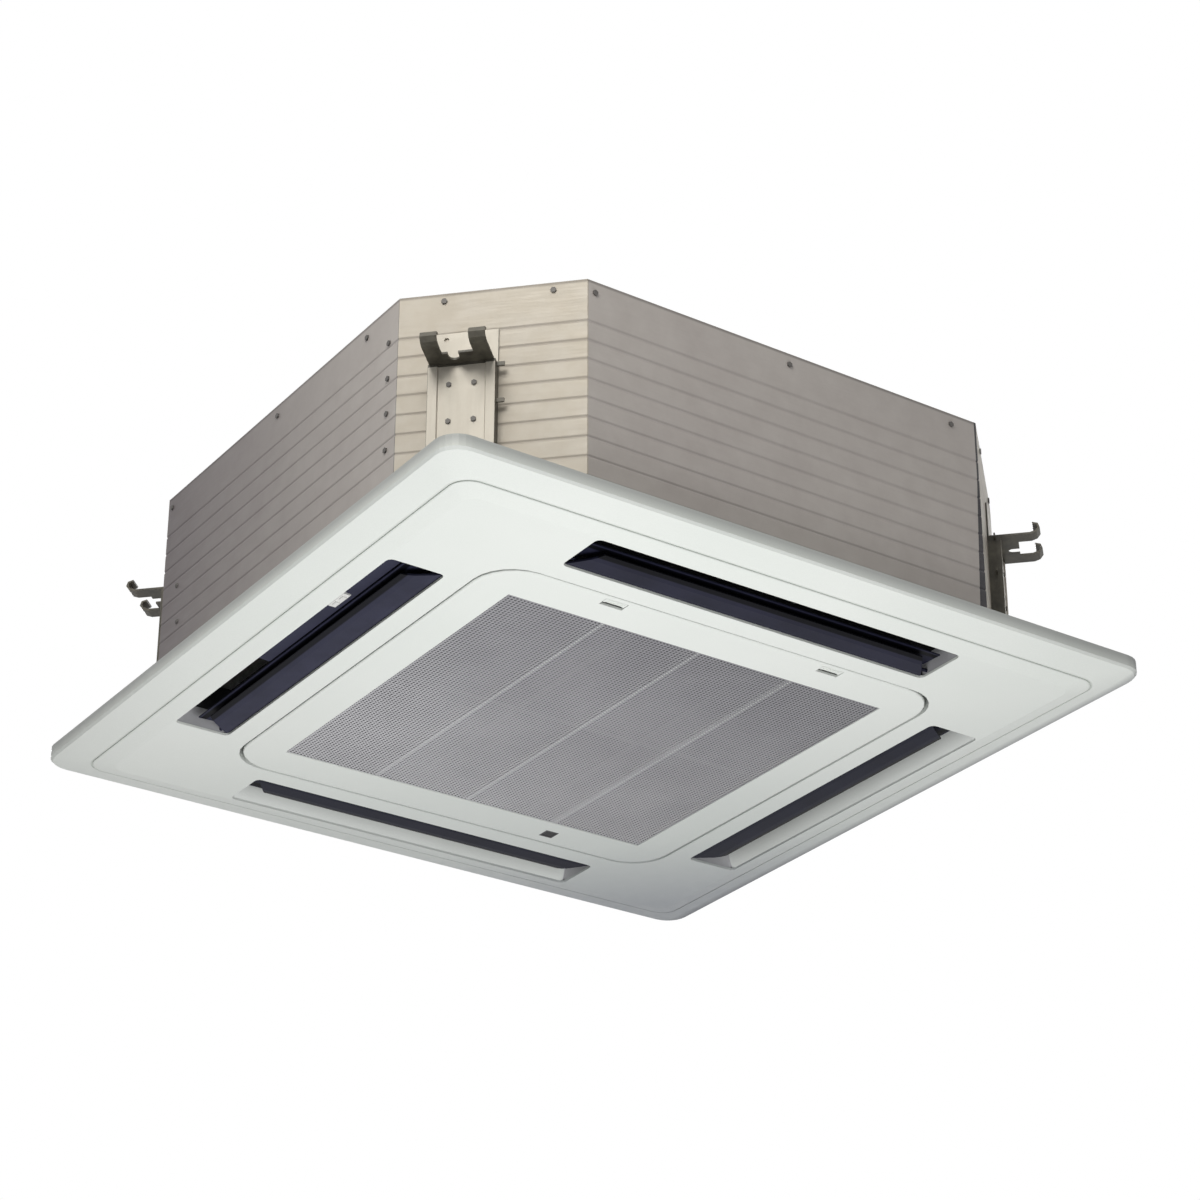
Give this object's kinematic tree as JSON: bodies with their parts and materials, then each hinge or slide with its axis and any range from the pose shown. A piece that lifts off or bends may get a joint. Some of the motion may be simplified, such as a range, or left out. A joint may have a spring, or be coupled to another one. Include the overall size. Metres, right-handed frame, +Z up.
{
  "type": "ceiling cassette air conditioner",
  "caption": "Ceiling cassette air conditioner: square panel with a hinged perforated intake grille, swinging louvers on every side, and a beaded steel casing with suspension hooks.",
  "frame": {"origin": "centre of the panel's room-side face", "axes": "+Z up to the ceiling, +Y towards the grille's hinges, -Y towards its latches, +X to the right seen from above with -Y near"},
  "size_m": [0.95, 0.95, 0.3164],
  "materials": {
    "panel_white": "fine matt moulding",
    "motor_grey": "matt",
    "louver_navy": "matt",
    "casing_steel": "galvanised sheet, dull",
    "hook_steel": "plated sheet, dull",
    "plated_steel": "plated",
    "mesh_grey": "matt",
    "filter_frame": "matt",
    "filter_net": "fine net",
    "window_black": "smooth",
    "foam_white": "beaded foam",
    "fin_aluminium": "fine fins",
    "copper": "drawn tube",
    "rubber_black": "matt",
    "plain_plastic": "matt",
    "galvanised": "galvanised",
    "board_green": "coated board"
  },
  "bodies": {
    "unit": {"bell_mouth": "plain_plastic", "bracket_rivets": "plated_steel", "cable_grommet": "rubber_black", "casing_insulation": "foam_white", "casing_panel_back": "casing_steel", "casing_panel_front": "casing_steel", "casing_panel_left": "casing_steel", "casing_panel_right": "casing_steel", "casing_screws": "plated_steel", "casing_top": "casing_steel", "coil_bends": "copper", "coil_end_plates": "plated_steel", "coil_fins": "fin_aluminium", "control_board": "board_green", "control_box": "galvanised", "control_box_cover": "galvanised", "drain_pipe": "plain_plastic", "drain_pump": "plain_plastic", "drain_tray": "foam_white", "fan_motor": "galvanised", "float_stem": "plain_plastic", "gas_union": "copper", "hanger_bracket_back_left": "hook_steel", "hanger_bracket_back_right": "hook_steel", "hanger_bracket_front_left": "hook_steel", "hanger_bracket_front_right": "hook_steel", "liquid_union": "copper", "louver_motor_back": "motor_grey", "louver_motor_front": "motor_grey", "louver_motor_left": "motor_grey", "louver_motor_right": "motor_grey", "motor_bushes": "rubber_black", "outlet_duct_back": "panel_white", "outlet_duct_front": "panel_white", "outlet_duct_left": "panel_white", "outlet_duct_right": "panel_white", "outlet_frame": "foam_white", "outlet_seals": "foam_white", "panel_face": "panel_white", "panel_screws": "plated_steel", "pipe_cover": "casing_steel", "terminal_block": "plain_plastic"},
    "fan": {"turbo_fan": "plain_plastic", "fan_nut": "plated_steel", "motor_shaft": "plated_steel"},
    "grille": {"grille_frame": "panel_white", "grille_mesh": "mesh_grey", "filter_frame": "filter_frame", "filter_net": "filter_net", "receiver_window": "window_black", "grille_hinge_pins": "plated_steel"},
    "latch_left": {"latch_left": "panel_white"},
    "latch_right": {"latch_right": "panel_white"},
    "float": {"float_body": "plain_plastic"},
    "louver_front": {"louver_front": "louver_navy"},
    "louver_right": {"louver_right": "louver_navy"},
    "louver_back": {"louver_back": "louver_navy"},
    "louver_left": {"louver_left": "louver_navy"}
  },
  "joints": [
    {"name": "fan_spin", "type": "hinge", "parent": "unit", "child": "fan", "pos_m": [0, 0, 0.2], "axis": [0, 0, 1], "continuous": true},
    {"name": "grille_swing", "type": "hinge", "parent": "unit", "child": "grille", "pos_m": [0, 0.3045, 0.0032], "axis": [1, 0, 0], "range_deg": [0, 85]},
    {"name": "latch_left_slide", "type": "slide", "parent": "grille", "child": "latch_left", "axis": [0, 1, 0], "range_m": [0, 0.005]},
    {"name": "latch_right_slide", "type": "slide", "parent": "grille", "child": "latch_right", "axis": [0, 1, 0], "range_m": [0, 0.005]},
    {"name": "louver_front_swing", "type": "hinge", "parent": "unit", "child": "louver_front", "pos_m": [0, -0.348, 0.007], "axis": [1, 0, 0], "range_deg": [0, 60]},
    {"name": "louver_right_swing", "type": "hinge", "parent": "unit", "child": "louver_right", "pos_m": [0.348, 0, 0.007], "axis": [0, 1, 0], "range_deg": [0, 60]},
    {"name": "louver_back_swing", "type": "hinge", "parent": "unit", "child": "louver_back", "pos_m": [0, 0.348, 0.007], "axis": [-1, 0, 0], "range_deg": [0, 60]},
    {"name": "louver_left_swing", "type": "hinge", "parent": "unit", "child": "louver_left", "pos_m": [-0.348, 0, 0.007], "axis": [0, -1, 0], "range_deg": [0, 60]},
    {"name": "float_rise", "type": "slide", "parent": "unit", "child": "float", "axis": [0, 0, 1], "range_m": [0, 0.01]}
  ],
  "couplings": [
    {"joint": "louver_right_swing", "follows": "louver_front_swing", "ratio": 1},
    {"joint": "louver_back_swing", "follows": "louver_front_swing", "ratio": 1},
    {"joint": "louver_left_swing", "follows": "louver_front_swing", "ratio": 1}
  ]
}
